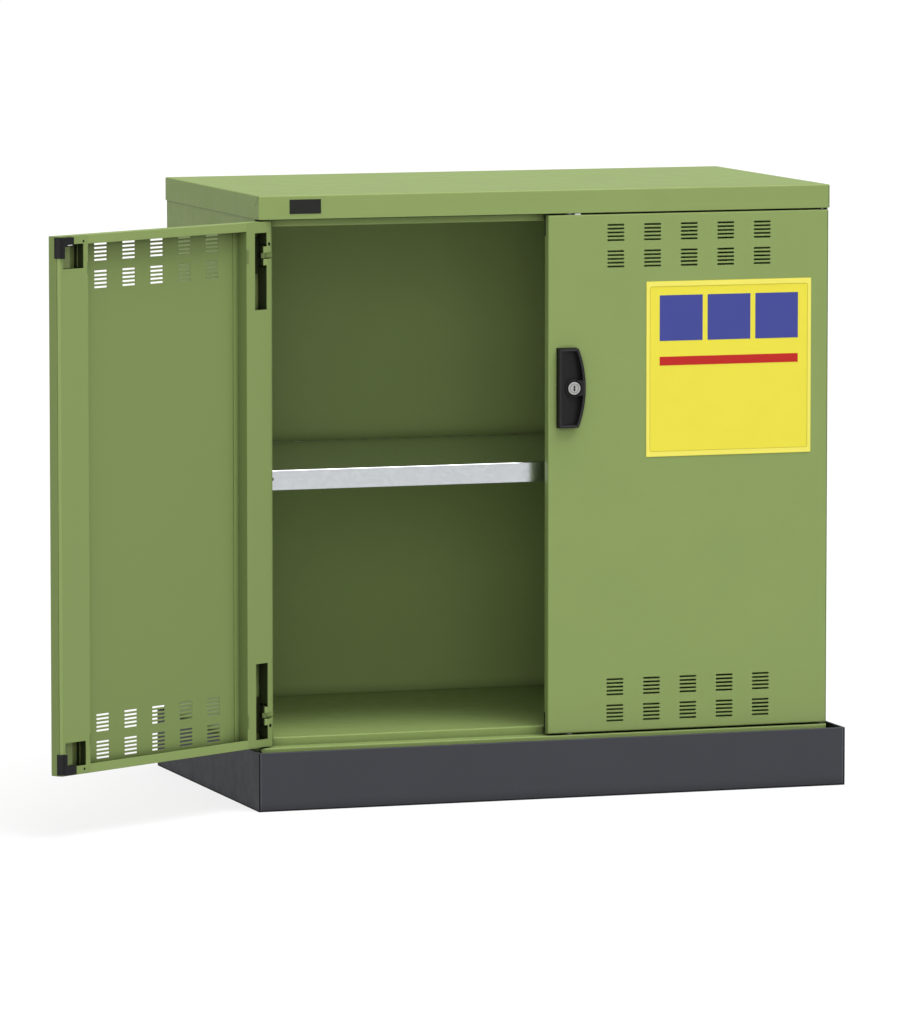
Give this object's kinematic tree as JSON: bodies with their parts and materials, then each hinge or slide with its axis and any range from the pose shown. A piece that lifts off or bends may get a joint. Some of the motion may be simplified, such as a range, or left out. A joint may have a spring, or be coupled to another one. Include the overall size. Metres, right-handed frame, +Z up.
{
  "type": "ventilated safety storage cabinet in a spill tray",
  "caption": "Low sheet steel cabinet with hinged slotted doors, a shelf, a rod lock with a recessed pull handle, standing on feet in a spill tray.",
  "frame": {"origin": "middle of the spill tray's underside, on the floor", "axes": "+Z up, the doors face -Y, +X to the right as seen from the front"},
  "size_m": [1.4722, 0.8313, 1.036],
  "materials": {
    "cabinet_green": "satin powder coat",
    "tray_grey": "satin powder coat",
    "galvanised_steel": "galvanised sheet",
    "zinc_steel": "bright zinc plate",
    "lock_metal": "satin nickel plate",
    "black_plastic": "fine moulded grain",
    "foot_black": "matt",
    "white_nylon": "moulded",
    "notice_yellow": "printed sheet",
    "notice_blue": "printed film",
    "notice_red": "printed film"
  },
  "bodies": {
    "carcass": {"spill_tray": "tray_grey", "foot_pads": "foot_black", "foot_studs": "zinc_steel", "foot_nuts": "zinc_steel", "side_panel_left": "cabinet_green", "side_panel_right": "cabinet_green", "back_panel": "cabinet_green", "back_panel_screws": "zinc_steel", "floor_pan": "cabinet_green", "base_front": "cabinet_green", "base_rivets": "zinc_steel", "header_rail": "cabinet_green", "top_cover": "cabinet_green", "badge_plate": "black_plastic", "upright_left_front": "cabinet_green", "upright_left_rear": "cabinet_green", "upright_right_front": "cabinet_green", "upright_right_rear": "cabinet_green", "shelf_clips": "galvanised_steel", "shelf": "galvanised_steel", "shelf_stiffener": "galvanised_steel", "hinge_bracket_left_lower": "cabinet_green", "hinge_bracket_left_upper": "cabinet_green", "hinge_bracket_right_lower": "cabinet_green", "hinge_bracket_right_upper": "cabinet_green", "hinge_bracket_screws": "zinc_steel"},
    "left_door": {"left_door_skin": "cabinet_green", "left_door_hinge_stile": "cabinet_green", "left_door_free_stile": "cabinet_green", "left_door_bumpers": "black_plastic", "left_door_hinge_leaves": "cabinet_green", "left_door_hinge_pins": "cabinet_green"},
    "right_door": {"right_door_skin": "cabinet_green", "right_door_hinge_stile": "cabinet_green", "right_door_free_stile": "cabinet_green", "right_door_bumpers": "black_plastic", "right_door_hinge_leaves": "cabinet_green", "right_door_hinge_pins": "cabinet_green", "handle_housing": "black_plastic", "lock_cylinder": "lock_metal", "lock_nut": "zinc_steel", "lock_case": "galvanised_steel", "lock_case_screws": "zinc_steel", "rod_guides": "white_nylon", "notice_plate": "notice_yellow", "notice_blue_fields": "notice_blue", "notice_red_field": "notice_red"},
    "lock": {"lock_plug": "lock_metal", "lock_pinion": "zinc_steel"},
    "upper_rod": {"upper_rod": "zinc_steel"},
    "lower_rod": {"lower_rod": "zinc_steel"}
  },
  "joints": [
    {"name": "left_door_swing", "type": "hinge", "parent": "carcass", "child": "left_door", "pos_m": [-0.5065, -0.2648, 0.55], "axis": [0, 0, -1], "range_deg": [-150, 0]},
    {"name": "right_door_swing", "type": "hinge", "parent": "carcass", "child": "right_door", "pos_m": [0.4945, -0.2648, 0.55], "axis": [0, 0, 1], "range_deg": [0, 150]},
    {"name": "lock_turn", "type": "hinge", "parent": "right_door", "child": "lock", "pos_m": [0.0376, -0.2775, 0.699], "axis": [0, -1, 0], "range_deg": [0, 90]},
    {"name": "upper_rod_slide", "type": "slide", "parent": "right_door", "child": "upper_rod", "axis": [0, 0, 1], "range_m": [0, 0.0118]},
    {"name": "lower_rod_slide", "type": "slide", "parent": "right_door", "child": "lower_rod", "axis": [0, 0, -1], "range_m": [0, 0.01178]}
  ],
  "couplings": [
    {"joint": "upper_rod_slide", "follows": "lower_rod_slide", "ratio": 1},
    {"joint": "lock_turn", "follows": "lower_rod_slide", "rad_per_m": 133.33}
  ]
}
